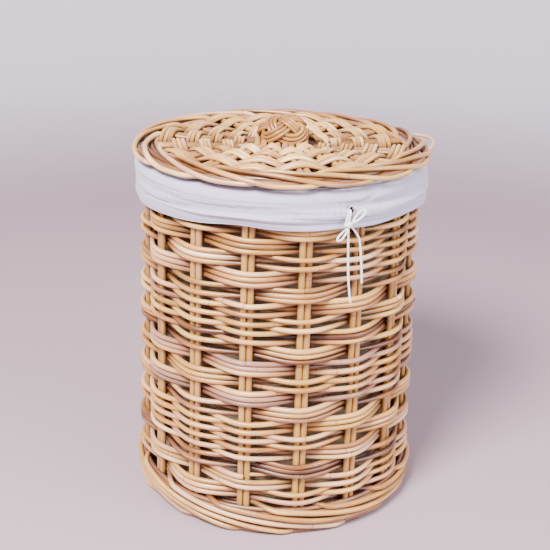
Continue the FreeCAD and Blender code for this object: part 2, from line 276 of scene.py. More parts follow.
def new_mesh(name, verts, faces, material, **attributes):
    """A smooth mesh object of quads, with numbers or vectors for the shader at its vertices."""
    mesh = bpy.data.meshes.new(name)
    verts = np.asarray(verts, dtype=np.float32)
    faces = np.asarray(faces, dtype=np.int32)
    mesh.vertices.add(len(verts))
    mesh.vertices.foreach_set("co", verts.ravel())
    mesh.loops.add(faces.size)
    mesh.loops.foreach_set("vertex_index", faces.ravel())
    mesh.polygons.add(len(faces))
    mesh.polygons.foreach_set("loop_start", np.arange(0, faces.size, 4, dtype=np.int32))
    mesh.update(calc_edges=True)
    mesh.polygons.foreach_set("use_smooth", np.ones(len(faces), dtype=bool))
    for key, values in attributes.items():
        values = np.asarray(values, dtype=np.float32)
        kind, field = ("FLOAT", "value") if values.ndim == 1 else ("FLOAT_VECTOR", "vector")
        mesh.attributes.new(key, kind, "POINT").data.foreach_set(field, values.ravel())
    mesh.update()
    mesh.validate()
    mesh.materials.append(material)
    obj = bpy.data.objects.new(name, mesh)
    bpy.context.collection.objects.link(obj)
    return obj


def carried_normals(tangent):
    """Normals that turn as little as they can from each point to the next."""
    previous = np.array([0.0, 0.0, 1.0])
    if abs(tangent[0] @ previous) > 0.9:
        previous = np.array([1.0, 0.0, 0.0])
    normal = np.zeros_like(tangent)
    for i, direction in enumerate(tangent):
        previous = previous - direction * (previous @ direction)
        previous /= np.linalg.norm(previous) + 1e-12
        normal[i] = previous
    return normal


def levelled_normals(tangent, up):
    """Normals as near to up as the tangents allow."""
    normal = np.broadcast_to(np.asarray(up, dtype=float), tangent.shape)
    return unit_rows(normal - tangent * np.sum(normal * tangent, axis=1)[:, None])


class Canes:
    """Gathers round canes into one mesh, with the shader's coordinates along each cane."""

    TIP = 0.72

    def __init__(self, sides):
        self.sides = sides
        self.points = []
        self.faces = []
        self.count = 0

    def add(self, path, radius, tint, closed=False, up=None):
        path = np.asarray(path, dtype=float)
        radius = np.broadcast_to(np.asarray(radius, dtype=float), (len(path),))
        if closed:
            tangent = unit_rows(np.roll(path, -1, axis=0) - np.roll(path, 1, axis=0))
        else:
            tangent = unit_rows(np.gradient(path, axis=0))
        normal = carried_normals(tangent) if up is None else levelled_normals(tangent, up)
        side = np.cross(tangent, normal)
        along = lengths_along(path)
        if not closed:
            # the ends are a little rounded
            tip = min(0.35 * radius[0], 0.2 * along[1])
            path = np.vstack([path[0] - tangent[0] * tip, path, path[-1] + tangent[-1] * tip])
            normal = np.vstack([normal[:1], normal, normal[-1:]])
            side = np.vstack([side[:1], side, side[-1:]])
            radius = np.concatenate([[radius[0] * self.TIP], radius, [radius[-1] * self.TIP]])
            along = np.concatenate([[-tip], along, [along[-1] + tip]])
        angle = circle(self.sides)
        x = np.cos(angle) * radius[:, None]
        y = np.sin(angle) * radius[:, None]
        ring = path[:, None] + normal[:, None] * x[..., None] + side[:, None] * y[..., None]
        index = self.count + np.arange(x.size).reshape(x.shape)
        self.count += x.size
        self.faces.append(grid_quads(np.vstack([index, index[:1]]) if closed else index))
        if not closed:
            self.faces.append(fan_quads(index[0])[:, ::-1])
            self.faces.append(fan_quads(index[-1]))
        # a number of its own moves each cane's grain and picks its hue
        pid = rng.random()
        along = np.repeat(along[:, None], self.sides, axis=1)
        place = np.stack([x, y, along], axis=-1) + pid * np.array([3.1, 5.7, 9.3])
        info = np.stack([along, np.full_like(x, tint), np.full_like(x, pid)], axis=-1)
        self.points.append(np.stack([ring, place, info]).reshape(3, -1, 3))

    def build(self, name, material, lit=None):
        verts, place, info = np.concatenate(self.points, axis=1)
        light = np.ones(len(verts)) if lit is None else unit(lit(verts))
        return new_mesh(name, verts, np.concatenate(self.faces), material, lit=light, cane=place,
                        info=info)


def keep(obj, body, slot_name, *cad_nodes):
    """Says which body a piece rides on and the CAD nodes that it stands for; its slot is not used.
    """
    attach(obj, body)
    if cad_nodes:
        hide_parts(*cad_nodes)


# ---------------- materials


def feed(tree, socket, value):
    """Sets a socket to a value, or links another node's output to it."""
    if isinstance(value, bpy.types.NodeSocket):
        tree.links.new(value, socket)
    else:
        socket.default_value = value


def shader_node(tree, kind, values):
    made = tree.nodes.new(kind)
    for key, value in values.items():
        feed(tree, made.inputs[key], value)
    return made


def attribute_node(tree, name):
    made = tree.nodes.new("ShaderNodeAttribute")
    made.attribute_name = name
    return made.outputs


def math_node(tree, operation, *values, clamp=False):
    made = shader_node(tree, "ShaderNodeMath", dict(enumerate(values)))
    made.operation = operation
    made.use_clamp = clamp
    return made.outputs[0]


def ramp(tree, value, stops):
    made = shader_node(tree, "ShaderNodeValToRGB", {0: value})
    elements = made.color_ramp.elements
    while len(elements) < len(stops):
        elements.new(0.5)
    for element, (position, colour) in zip(elements, stops):
        element.position = position
        element.color = (*colour, 1.0)
    return made.outputs[0]


def mix(tree, mode, factor, a, b):
    """Mixes two colours; each may be a value or another node's output."""
    made = tree.nodes.new("ShaderNodeMix")
    made.data_type = "RGBA"
    made.blend_type = mode
    feed(tree, made.inputs[0], factor)
    for socket, value in ((made.inputs[6], a), (made.inputs[7], b)):
        feed(tree, socket, (*value, 1.0) if isinstance(value, tuple) else value)
    return made.outputs[2]


def stretched_noise(tree, place, scale, detail, roughness):
    """Noise that is finer along some axes than along others."""
    mapping = shader_node(tree, "ShaderNodeMapping", {"Vector": place, "Scale": scale})
    noise = shader_node(tree, "ShaderNodeTexNoise",
                        {"Vector": mapping.outputs[0], "Scale": 1.0, "Detail": detail,
                         "Roughness": roughness})
    return noise.outputs[0]


def new_material(name, values):
    """A material with one shader: itself, its node tree and the shader."""
    material = bpy.data.materials.new(name)
    material.use_nodes = True
    tree = material.node_tree
    tree.nodes.clear()
    shader = shader_node(tree, "ShaderNodeBsdfPrincipled", values)
    shader_node(tree, "ShaderNodeOutputMaterial", {"Surface": shader.outputs[0]})
    return material, tree, shader


def finish_surface(tree, shader, colour, height, strength, distance):
    """Gives the shader its colour and its bump."""
    relief = shader_node(tree, "ShaderNodeBump",
                         {"Strength": strength, "Distance": distance, "Height": height})
    feed(tree, shader.inputs["Base Color"], colour)
    feed(tree, shader.inputs["Normal"], relief.outputs[0])


def cane_material(name, stops, roughness, ring_gap, pink_most=0.42):
    """Natural round cane: a tint for each cane, long fibres and dark growth rings."""
    material, tree, shader = new_material(name, {"Roughness": roughness,
                                                 "Specular IOR Level": 0.60})
    add, subtract, multiply, divide, fraction, size_of = (
        partial(math_node, tree, operation)
        for operation in ("ADD", "SUBTRACT", "MULTIPLY", "DIVIDE", "FRACT", "ABSOLUTE"))
    blend = partial(mix, tree, "MIX")
    split = shader_node(tree, "ShaderNodeSeparateXYZ", {0: attribute_node(tree, "info")["Vector"]})
    along, tint, pid = split.outputs
    place = attribute_node(tree, "cane")["Vector"]
    fibres = stretched_noise(tree, place, (900.0, 900.0, 14.0), 3.0, 0.55)
    patches = stretched_noise(tree, place, (90.0, 90.0, 16.0), 2.0, 0.5)

    # some canes are pinker and some more golden than the rest
    colour = ramp(tree, add(tint, multiply(subtract(patches, 0.5), 0.95)), stops)
    hue = fraction(multiply(pid, 7.13))
    pink = multiply(multiply(subtract(hue, 0.55), 3.2, clamp=True), pink_most)
    colour = blend(pink, colour, (0.60, 0.345, 0.275))
    gold = multiply(multiply(subtract(0.40, hue), 3.2, clamp=True), 0.55)
    colour = blend(gold, colour, (0.50, 0.292, 0.070))
    streak = ramp(tree, fibres, [(0.30, (0.62, 0.55, 0.47)), (0.52, (0.96, 0.95, 0.93)),
                                 (0.75, (1.0, 1.0, 1.0))])
    colour = mix(tree, "MULTIPLY", 0.80, colour, streak)

    # growth rings: a dark line and a brown blush round it, in millimetres from the ring
    rings = add(divide(along, ring_gap), multiply(pid, 17.3))
    away = multiply(size_of(subtract(fraction(rings), 0.5)), ring_gap * 1000.0)
    line = subtract(1.0, divide(away, 1.1), clamp=True)
    blush = subtract(1.0, divide(away, 9.0), clamp=True)
    colour = blend(multiply(blush, 0.35), colour, (0.47, 0.24, 0.10))
    colour = blend(multiply(line, 0.9), colour, (0.10, 0.045, 0.025))
    # painted shade: where the lit attribute is low, the cane colour is darkened toward the inside
    # of the work and in recesses
    painted_shade_ramp = ramp(tree, attribute_node(tree, "lit")["Fac"],
                [(0.0, (0.30, 0.21, 0.15)), (0.55, (0.78, 0.72, 0.66)), (1.0, (1.0, 1.0, 1.0))])
    colour = mix(tree, "MULTIPLY", 1.0, colour, painted_shade_ramp)
    finish_surface(tree, shader, colour, fibres, 0.55, 0.0006)
    return material


def cloth_material(name, colour, thread, relief=0.25):
    """Plain weave cotton: two crossing sets of threads with soft slubs."""
    material, tree, shader = new_material(name, {
        "Roughness": 0.85, "Specular IOR Level": 0.2, "Sheen Weight": 0.15,
        "Subsurface Weight": 0.06, "Subsurface Scale": 0.01})
    multiply = partial(math_node, tree, "MULTIPLY")
    place = attribute_node(tree, "cloth")["Vector"]
    split = shader_node(tree, "ShaderNodeSeparateXYZ", {0: place})
    warp = math_node(tree, "SINE", multiply(split.outputs[0], TAU / thread))
    weft = math_node(tree, "SINE", multiply(split.outputs[1], TAU / thread))
    weave = multiply(multiply(warp, weft), 0.5)
    slubs = stretched_noise(tree, place, (60.0, 700.0, 60.0), 2.0, 0.6)
    shaded = mix(tree, "MIX", slubs, tuple(c * 0.90 for c in colour), colour)
    height = math_node(tree, "ADD", weave, slubs)
    finish_surface(tree, shader, shaded, height, relief, 0.0004)
    return material


WEAVER_STOPS = [(0.00, (0.085, 0.024, 0.006)), (0.20, (0.245, 0.088, 0.020)),
                (0.42, (0.415, 0.185, 0.047)), (0.66, (0.560, 0.290, 0.088)),
                (0.86, (0.680, 0.420, 0.165)), (1.00, (0.790, 0.570, 0.300))]
STAKE_STOPS = [(0.00, (0.180, 0.068, 0.013)), (0.35, (0.370, 0.180, 0.042)),
               (0.70, (0.490, 0.262, 0.070)), (1.00, (0.610, 0.370, 0.130))]
LID_STOPS = [(0.00, (0.150, 0.048, 0.012)), (0.25, (0.350, 0.155, 0.042)),
             (0.55, (0.580, 0.318, 0.106)), (1.00, (0.900, 0.680, 0.390))]
KNOB_STOPS = [(0.00, (0.130, 0.045, 0.010)), (0.30, (0.330, 0.150, 0.036)),
              (0.65, (0.500, 0.275, 0.078)), (1.00, (0.660, 0.420, 0.160))]

weaver_mat = cane_material("cane_weavers", WEAVER_STOPS, 0.36, 0.34)
stake_mat = cane_material("cane_uprights", STAKE_STOPS, 0.40, 0.27)
lid_mat = cane_material("cane_lid", LID_STOPS, 0.33, 0.36)
knob_mat = cane_material("cane_knob", KNOB_STOPS, 0.36, 0.36, pink_most=0.0)
cloth_mat = cloth_material("liner_cotton", (0.385, 0.350, 0.450), 0.0011)
# painted shade: a dark brown cloth for the sheet just outside the bag, which shows through the
# gaps of the weave
painted_shade_cloth_mat = cloth_material("liner_painted_shade_cotton", (0.30, 0.215, 0.155), 0.0011)
hem_mat = cloth_material("liner_hem_cotton", (0.385, 0.357, 0.435), 0.0011)
cord_mat = cloth_material("cord_cotton", (0.72, 0.71, 0.73), 0.0016, relief=0.6)

# Painted shade darkens the canes toward the inside of the work, where less light falls: 1 is
# unshaded, 0 is darkest.


def wall_lit(verts):
    return (radius_of(verts) - 0.1830) / 0.0120


def base_lit(verts):
    return (BASE_Z + 0.0040 - verts[:, 2]) / 0.0100


def upright_lit(verts):
    return np.where(verts[:, 2] > BEND_Z, wall_lit(verts), base_lit(verts))


def foot_lit(verts):
    return (radius_of(verts) - (FOOT_OUT - 0.0085)) / 0.0105


def lid_lit(verts):
    return (verts[:, 2] - (LID_Z - 0.0010)) / 0.0085


def roll_lit(middle_r, middle, half_w, half_h, start, depth):
    """The light on a roll of canes round a ring."""
    def lit(verts):
        out = (radius_of(verts) - middle_r) / half_w
        up = (verts[:, 2] - middle) / half_h
        return (np.hypot(out, up) - start) / depth
    return lit


# ---------------- uprights and arms


def arm_angle(k):
    return math.radians(360.0 / ARMS * (k + 0.5))


def flared(path):
    """The basket is a little wider toward its foot."""
    down = unit(1.0 - path[:, 2] / FLARE_Z)
    grow = FLARE_TOP + (FLARE_FOOT - FLARE_TOP) * down
    return path * np.stack([grow, grow, np.ones_like(grow)], axis=1)


def cane_route(lane, side, turned, level, middle, outer, rise):
    """Corners of one cane: two arms that meet in the middle, bent up at the wall."""
    offset = (lane - 1.5) * LANE
    fan = math.radians((lane - 1.5) * 360.0 / ARMS)
    shift = side * PAIR
    along = np.array([math.cos(fan), math.sin(fan), 0.0])
    across = np.array([-math.sin(fan), math.cos(fan), 0.0])
    near = np.array([offset / math.tan(fan) - shift * math.tan(fan / 2.0), offset + shift, level])
    far = along * outer + across * shift + np.array([0.0, 0.0, middle])
    points = [far, near]
    if rise:
        points.insert(0, np.array([far[0], far[1], rise]))
    points += [p * np.array([-1.0, 1.0, 1.0]) for p in reversed(points)]
    if turned:
        points = [np.array([-p[1], p[0], p[2]]) for p in points]
    return points


def crossing_canes(index, middle, outer, rise=None):
    """A pair of canes across the disc; rise is the height of their ends if they bend up."""
    turned = index >= 4
    level = middle + (LAYER if turned else -LAYER)
    canes = Canes(12)
    for side in (-1.0, 1.0):
        route = cane_route(index % 4, side, turned, level, middle, outer, rise)
        radii = [CORNER_R, FAN_R, FAN_R, CORNER_R] if rise else [FAN_R, FAN_R]
        path = rounded(route, radii, 0.006)
        count = len(path)
        seed = 100 + index * 4 + int(side > 0) + (50 if rise else 0)
        radius = CANE / 2.0 * (1.02 + 0.02 * wander(count, 12, seed + 7))
        if side < 0:
            radius = radius * 0.96
        if rise:
            lift = unit((path[:, 2] - 0.05) / 0.05)
            outward = unit_rows(path * np.array([1.0, 1.0, 0.0]))
            path = flared(path + outward * (wander(count, 9, seed) * 0.0005 * lift)[:, None])
        canes.add(path, np.minimum(radius, CANE / 2.0 * 1.05), 0.5 + rng.normal() * 0.12)
    return canes


for i in range(8):
    number = "%02d" % (i + 1)
    canes = crossing_canes(i, BASE_Z, STAKE_R, rise=STAKE_TOP)
    keep(canes.build("upright_pair_" + number, stake_mat, upright_lit),
         "basket", "rattan_stakes", "stake_pair_" + number)
    canes = crossing_canes(i, LID_Z, DISC_OUT - 0.0006)
    keep(canes.build("lid_arm_canes_" + number, lid_mat, lid_lit),
         "lid", "rattan_lid", "lid_arm_pair_" + number)

# ---------------- the wall


def round_arms(values, theta, share):
    """Joins one value per arm round the circle; share(0..1) is what the last arm keeps."""
    place = (theta / TAU * ARMS - 0.5) % ARMS
    k = np.floor(place).astype(int)
    w = share(place - k)
    return values[k % ARMS] * w + values[(k + 1) % ARMS] * (1.0 - w)


def lying(u):
    """Falls from 1 to 0, with a flat stretch where the cane lies on each pair."""
    flat = 0.07
    t = unit((u - flat) / (1.0 - 2.0 * flat))
    return 1.0 - (0.55 * t + 0.45 * smoothstep(t))


# arm k stands at (k + 0.5) * 22.5 degrees from +X; the front is at -90 degrees
FRONT_ARM = 11
# the middle canes of the diamonds go the opposite way: each diamond's middle, as uprights to
# the right of the front arm and groups below the hem
DIAMONDS = ((-1, 6), (3, 2), (7, 6), (11, 2))
DIAMOND_PITCH = 8


def wall_plan():
    """By group and arm: edges' heights, the side that it passes on, singled middle canes."""
    # the pattern is counted from just above the hem down, and built from the foot up
    g = GROUPS - 2 - np.arange(GROUPS)[:, None]
    s = (np.arange(ARMS) - FRONT_ARM) % ARMS
    front = np.where((g + s) % 2, 1.0, -1.0)
    single = np.zeros((GROUPS, ARMS), dtype=bool)
    for column, first in DIAMONDS:
        aside = np.abs((s - column + ARMS // 2) % ARMS - ARMS // 2)
        for centre in range(first - DIAMOND_PITCH, GROUPS + DIAMOND_PITCH, DIAMOND_PITCH):
            single |= aside + np.abs(g - centre) <= 2
    heights = np.where(single, 18.6, 21.8)
    heights *= (WALL_HIGH - WALL_LOW) / heights.sum(axis=0)
    edges = WALL_LOW + np.vstack([np.zeros(ARMS), np.cumsum(heights, axis=0)])
    # the rows under the cuff are packed tighter
    edges = np.interp(edges, [WALL_LOW, UNDER_CUFF, WALL_HIGH],
                      [WALL_LOW + ROWS_UP, UNDER_CUFF + ROWS_UP, WALL_HIGH + 0.001])
    return edges, front, single


def row_look(group):
    """Radius and tint of one row; a few rows are dark, and one group is thick and even."""
    radius = float(np.clip(rng.normal(0.00336, 0.00017), 0.0030, 0.00358))
    tint = drawn_tint(rng, 0.565, 0.23, 0.12)
    if rng.random() < 0.14:
        tint = float(rng.uniform(0.05, 0.3))
    if group == 8:
        tint = 0.42 + 0.05 * rng.normal()
        radius = 0.00355
    return radius, tint


def cane_spans():
    """Where a row's canes start and end: it has one or two, joined end to end."""
    gap = 0.0011 / STAKE_R
    joins = np.sort(rng.choice(ARMS, size=int(rng.integers(1, 3)), replace=False))
    starts = sorted((arm_angle(int(j)) + rng.normal() * 0.012) % TAU for j in joins)
    ends = starts[1:] + [starts[0] + TAU]
    return [(start + gap, end - gap, end - start) for start, end in zip(starts, ends)]


def wall_band(band, edges, front, single):
    """Six rows: two groups of three canes."""
    canes = Canes(10)
    for row in range(6):
        group = band * 2 + row // 3
        member = row % 3
        radius, tint = row_look(group)
        middle = edges[group] + (edges[group + 1] - edges[group]) * (member + 0.5) / 3.0
        signs = front[group]
        if member == 1:
            signs = np.where(single[group], -signs, signs)
        for m, (start, end, turn) in enumerate(cane_spans()):
            seed = 1000 + band * 10 + row + m
            count = max(12, int(SAMPLES * turn / TAU))
            theta = np.linspace(start, end, count)
            r = STAKE_R + round_arms(signs, theta, lying) * (radius + CANE / 2.0 + 0.0001)
            r += wander(count, 7, seed) * 0.00018
            z = round_arms(middle, theta, half_cosine) + wander(count, 6, seed + 50) * 0.00026
            thickness = radius * (1.0 + 0.03 * wander(count, 9, seed + 90))
            canes.add(flared(around(r, theta, z)), np.minimum(thickness, 0.00365),
                      tint + rng.normal() * 0.07, up=UP)
    return canes


plan = wall_plan()
for band in range(10):
    number = "%02d" % (band + 1)
    keep(wall_band(band, *plan).build("wall_weave_" + number, weaver_mat, wall_lit),
         "basket", "rattan_weavers", "weave_band_" + number)

# ---------------- foot and rim


def foot_sweeps():
    """Canes that come out from behind an upright, sweep down over the next ones and tuck in."""
    canes = Canes(12)
    count = 96
    u = np.linspace(0.0, 1.0, count)
    fall = unit((u - 0.04) / 0.86)
    ease_out = smoothstep(unit(u / 0.15))
    ease_in = smoothstep(unit((u - 0.84) / 0.16))
    lowered = 0.0035 * unit((fall - 0.55) / 0.45)
    for k in range(ARMS):
        local = np.random.default_rng(400 + k)
        theta = arm_angle(k) + TAU / ARMS * (0.06 + FOOT_SPAN * u + 0.05 * local.normal())
        z = FOOT_RISE + (FOOT_CANE + 0.0002 - FOOT_RISE) * (0.86 * fall + 0.14 * fall ** 2)
        waves = np.sin(fall * math.pi * 3.0 + local.uniform(0.0, TAU))
        z += waves * 0.0009 * np.sin(math.pi * fall)
        z = np.maximum(z, FOOT_CANE + 0.0001) + 0.0016 * ease_in
        r = FOOT_OUT - 0.0190 * (1.0 - ease_out) - 0.0150 * ease_in - lowered
        r = r + wander(count, 9, 420 + k) * 0.0004
        canes.add(around(r, theta, z), FOOT_CANE * (1.0 + 0.04 * local.normal()),
                  drawn_tint(local, 0.62, 0.20, 0.15), up=UP)
    return canes


def foot_waling():
    """Rows behind the sweeps, outside and inside the uprights' bend; levels in millimetres."""
    canes = Canes(9)
    for r, levels in ((FOOT_OUT - 0.0074, (4.4, 10.8)), (FOOT_OUT - 0.0074, (30.0, 36.5)),
                      (FOOT_OUT - 0.0142, (3.9, 10.0)), (STAKE_R - 0.0080, (37.0, 31.0))):
        for level in levels:
            theta = circle(SAMPLES - 1)
            shake = wander(len(theta), 9, int(level * 10), closed=True) * 0.0003
            canes.add(around(r, theta, level / 1000.0 + shake), 0.0033,
                      float(rng.normal(0.3, 0.12)), closed=True, up=UP)
    return canes


def rim_roll():
    """Canes wound round the rim from inside over the top, in threes, on canes that lie inside."""
    canes = Canes(9)
    count = 64
    half_w = RIM_W - RIM_CANE
    half_h = RIM_H - RIM_CANE
    first = -35.0
    degrees = np.linspace(first, first + 350.0, count)
    turn = np.radians(degrees)
    local = np.random.default_rng(6)
    for i in range(3 * ARMS):
        start = (i // 3 + (i % 3 - 1.0) / 3.0 * 0.86) / ARMS * TAU
        # each cane moves on by 50 degrees while it goes half way round
        theta = start + math.radians(50.0) * (degrees - first) / 180.0
        theta += wander(count, 7, 657 + i) * 0.0006 / RIM_R
        shake = wander(count, 6, 600 + i) * 0.0002
        r = RIM_R - (half_w + shake) * np.cos(turn)
        z = RIM_Z + (half_h + shake) * np.sin(turn)
        tint = drawn_tint(local, 0.5, 0.22, 0.05)
        canes.add(around(r, theta, z), RIM_CANE * (1.0 + 0.04 * local.normal()), tint)
    for t in circle(7):
        path = around(RIM_R + half_w * 0.62 * math.cos(t), circle(160),
                      RIM_Z + half_h * 0.42 * math.sin(t))
        canes.add(path, min(half_w * 0.30, half_h * 0.5), 0.0, closed=True, up=UP)
    return canes


keep(foot_sweeps().build("foot_border_sweeps", weaver_mat, foot_lit),
     "basket", "rattan_weavers", "foot_border")
keep(foot_waling().build("foot_waling", weaver_mat, foot_lit),
     "basket", "rattan_weavers", "foot_wale")
keep(rim_roll().build("rim_roll", weaver_mat, roll_lit(RIM_R, RIM_Z, RIM_W, RIM_H, 0.45, 0.42)),
     "basket", "rattan_weavers", "rim_border")

# ---------------- woven discs


def flat_weave(middle, inner, outer, rounds, radius, tint, seed, parity=0):
    """Groups of three canes worked over and under the arms of a flat disc."""
    canes = Canes(9)
    local = np.random.default_rng(seed)
    arms = np.arange(ARMS)
    layers = np.array([-1.0 if abs(math.cos(arm_angle(k))) > 0.7071 else 1.0 for k in arms])
    for n in range(rounds):
        r0 = inner + (outer - inner) / rounds * (n + 0.5)
        signs = np.where((arms + n // 3 + parity) % 2, 1.0, -1.0)
        count = int(96 + 110 * r0 / 0.17)
        start = local.uniform(0.0, TAU)
        theta = np.linspace(start, start + TAU - 0.003 / r0, count)
        # the arms run in two layers near the middle and level out toward the edge
        split = LAYER * unit(1.0 - (r0 - 0.055) / 0.115)
        z = middle + round_arms(layers * split, theta, half_cosine) * 0.8
        z += round_arms(signs, theta, lying) * (CANE / 2.0 + radius)
        z += wander(count, 6, seed + n) * 0.0002
        r = r0 + wander(count, 6, seed + n + 40) * 0.00025
        value = drawn_tint(local, tint, 0.20, 0.08)
        canes.add(around(r, theta, z), radius * (1.0 + 0.03 * local.normal()), value)
    return canes


canes = flat_weave(BASE_Z, DISC_IN - 0.004, SPLIT_R, 9, 0.0029, 0.55, 21)
keep(canes.build("base_weave_middle", weaver_mat, base_lit),
     "basket", "rattan_weavers", "base_weave_inner")
canes = flat_weave(BASE_Z, SPLIT_R, BASE_OUT, 9, 0.0031, 0.55, 22, parity=1)
keep(canes.build("base_weave_edge", weaver_mat, base_lit),
     "basket", "rattan_weavers", "base_weave_outer")
canes = flat_weave(LID_Z, DISC_IN - 0.010, SPLIT_R, 12, 0.0026, 0.51, 31)
keep(canes.build("lid_weave_middle", lid_mat, lid_lit), "lid", "rattan_lid", "lid_weave_inner")
canes = flat_weave(LID_Z, SPLIT_R, DISC_OUT, 9, 0.0030, 0.51, 32)
keep(canes.build("lid_weave_edge", lid_mat, lid_lit), "lid", "rattan_lid", "lid_weave_outer")

# ---------------- the lid's edge


def softened(values):
    """Mean of the nine values round each one."""
    return np.convolve(np.pad(values, 4, mode="edge"), np.ones(9) / 9.0, mode="valid")


def border_sweeps(canes):
    """Canes that come up beside the weave, sweep over the edge and tuck in along its foot."""
    # corners of the way over the border, as radius and height
    corners = np.array([(EDGE_IN, EDGE_TOP - 0.0030), (EDGE_IN + 0.0060, EDGE_TOP),
                        (EDGE_OUT - 0.0110, EDGE_TOP), (EDGE_OUT - 0.0030, EDGE_TOP - 0.0040),
                        (EDGE_OUT, EDGE_LOW + 0.0035), (EDGE_OUT - 0.0008, EDGE_LOW)])
    share = lengths_along(corners)
    share /= share[-1]
    count = 100
    u = np.linspace(0.0, 1.0, count)
    over = unit(u / 0.68)
    over = 0.90 * over + 0.10 * smoothstep(over)
    start = unit(1.0 - u / 0.12)
    tuck = smoothstep(unit((u - 0.80) / 0.20))
    r = softened(np.interp(over, share, corners[:, 0])) - 0.0110 * tuck
    z = softened(np.interp(over, share, corners[:, 1])) - 0.0100 * start ** 2 + 0.0036 * tuck
    for k in range(ARMS):
        local = np.random.default_rng(500 + k)
        theta = arm_angle(k) + TAU / ARMS * (EDGE_SPAN * u + 0.06 * local.normal())
        path = around(r + wander(count, 9, 540 + k) * 0.0004, theta,
                      z + wander(count, 9, 520 + k) * 0.0003)
        canes.add(path, EDGE_CANE * (1.0 - 0.18 * u) * (1.0 + 0.04 * local.normal()),
                  drawn_tint(local, 0.42, 0.21, 0.05), up=UP)


def border_filling(canes):
    """Canes that lie inside the border; their darker tint is painted shade in the border's gaps.
    """
    for lane, level, tint in (
            (EDGE_IN + 0.0050, 0.0010, 0.26), (EDGE_IN + 0.0120, -0.0012, 0.20),
            (EDGE_IN + 0.0190, 0.0006, 0.24), (EDGE_OUT - 0.0070, -0.0020, 0.18),
            (EDGE_IN + 0.0085, -0.0050, 0.24), (EDGE_IN + 0.0155, -0.0056, 0.20)):
        theta = circle(220)
        seed = int(lane * 1e5)
        r = lane + wander(len(theta), 9, seed, closed=True) * 0.0006
        z = LID_Z + level + wander(len(theta), 9, seed + 7, closed=True) * 0.0004
        canes.add(around(r, theta, z), 0.0031, tint, closed=True, up=UP)


def locating_wale():
    """Three rounds of two canes under the lid, which keep it in the basket's mouth."""
    canes = Canes(9)
    top = high("lid_locating_ring")[2] - 0.0032
    outer = high("lid_locating_ring")[0] - 0.0030
    for layer in range(3):
        for lane in range(2):
            start = layer * 1.3 + lane
            theta = np.linspace(start, start + TAU - 0.02, 160)
            r = outer - lane * 0.0052 + 0.0004 * np.sin(theta * 24.0 + layer * 2.1)
            z = top - layer * 0.0050
            z = z + 0.0007 * np.sin(theta * 16.0 + layer * 1.2 + lane * 3.14)
            canes.add(around(r, theta, z), 0.0026, rng.normal(0.55, 0.12), up=UP)
    return canes


canes = Canes(12)
border_sweeps(canes)
border_filling(canes)
edge_lit = roll_lit((EDGE_IN + EDGE_OUT) / 2.0, LID_Z, (EDGE_OUT - EDGE_IN) / 2.0, BORDER_H,
                    0.62, 0.45)
keep(canes.build("lid_border_sweeps", lid_mat, edge_lit), "lid", "rattan_lid", "lid_border")
keep(locating_wale().build("lid_locating_wale", lid_mat),
     "lid", "rattan_lid", "lid_locating_ring")

# ---------------- knob


def line_crossings(path):
    """Where a closed flat line crosses itself, as sorted places along it, counted in points."""
    def cross(a, b):
        return a[:, 0] * b[:, 1] - a[:, 1] * b[:, 0]

    run = np.roll(path, -1, axis=0) - path
    i, j = np.triu_indices(len(path), 2)
    # the last run only touches the first
    apart = (i > 0) | (j < len(path) - 1)
    i = i[apart]
    j = j[apart]
    gap = path[j] - path[i]
    den = cross(run[i], run[j])
    den = np.where(np.abs(den) < 1e-12, 1e-12, den)
    u = cross(gap, run[j]) / den
    v = cross(gap, run[i]) / den
    hit = (u >= 0) & (u < 1) & (v >= 0) & (v < 1)
    return np.sort(np.concatenate([i[hit] + u[hit], j[hit] + v[hit]]))


def turks_head(leads, bights, count):
    """Centre line of a woven dome knot: angle, spread 0..1 and height -1..1 at each point."""
    t = circle(count)
    angle = leads * t
    spread = 0.5 + 0.5 * np.cos(bights * t)
    crossings = line_crossings(around(0.25 + spread, angle, 0.0))
    levels = np.tile(np.where(np.arange(len(crossings)) % 2 == 0, 1.0, -1.0), 3)
    places = np.concatenate([crossings - count, crossings, crossings + count])
    points = np.arange(count)
    k = np.searchsorted(places, points, side="right") - 1
    w = half_cosine((points - places[k]) / (places[k + 1] - places[k]))
    return angle, spread, levels[k] * w + levels[k + 1] * (1.0 - w)


def knob_dome():
    """The woven dome: one line of three canes side by side, over and under itself."""
    canes = Canes(9)
    angle, spread, height = turks_head(3, 5, 520)
    dome_h = KNOB_TOP - KNOB_LOW - 4.4 * KNOB_CANE - 0.0010
    dome_r = KNOB_R - 2.0 * KNOB_CANE - 0.0008
    polar = np.radians(14.0 + spread * 82.0)
    centre = around(dome_r * np.sin(polar) ** 0.9, angle,
                    KNOB_LOW + dome_h * np.cos(polar) * 1.02 + 0.0055) + KNOB_MIDDLE
    normal = around(np.sin(polar), angle, np.cos(polar))
    tangent = unit_rows(np.roll(centre, -1, axis=0) - np.roll(centre, 1, axis=0))
    sideways = np.cross(normal, tangent)
    lift = height * (KNOB_CANE + 0.0003) + 0.0006
    for m in (-1.0, 0.0, 1.0):
        path = centre + sideways * (m * KNOB_CANE * 2.04) + normal * lift[:, None]
        canes.add(path, KNOB_CANE, 0.27 + 0.08 * m + rng.normal() * 0.05, closed=True)
    return canes


def knob_core():
    """Coiled cane that fills the dome."""
    canes = Canes(8)
    core_h = KNOB_TOP - KNOB_LOW - 0.013
    lane_width = 0.0046
    for layer in range(9):
        up = 0.0026 + layer * (core_h - 0.006) / 8.0
        reach = (KNOB_R - 0.0115) * math.sqrt(max(0.0, 1.0 - (up / (core_h + 0.004)) ** 2))
        for lane in range(int(reach / lane_width) + 1):
            r = reach - lane * lane_width
            if r >= 0.003:
                path = around(r, circle(48), KNOB_LOW + up) + KNOB_MIDDLE
                canes.add(path, KNOB_CANE, 0.35, closed=True, up=UP)
    return canes


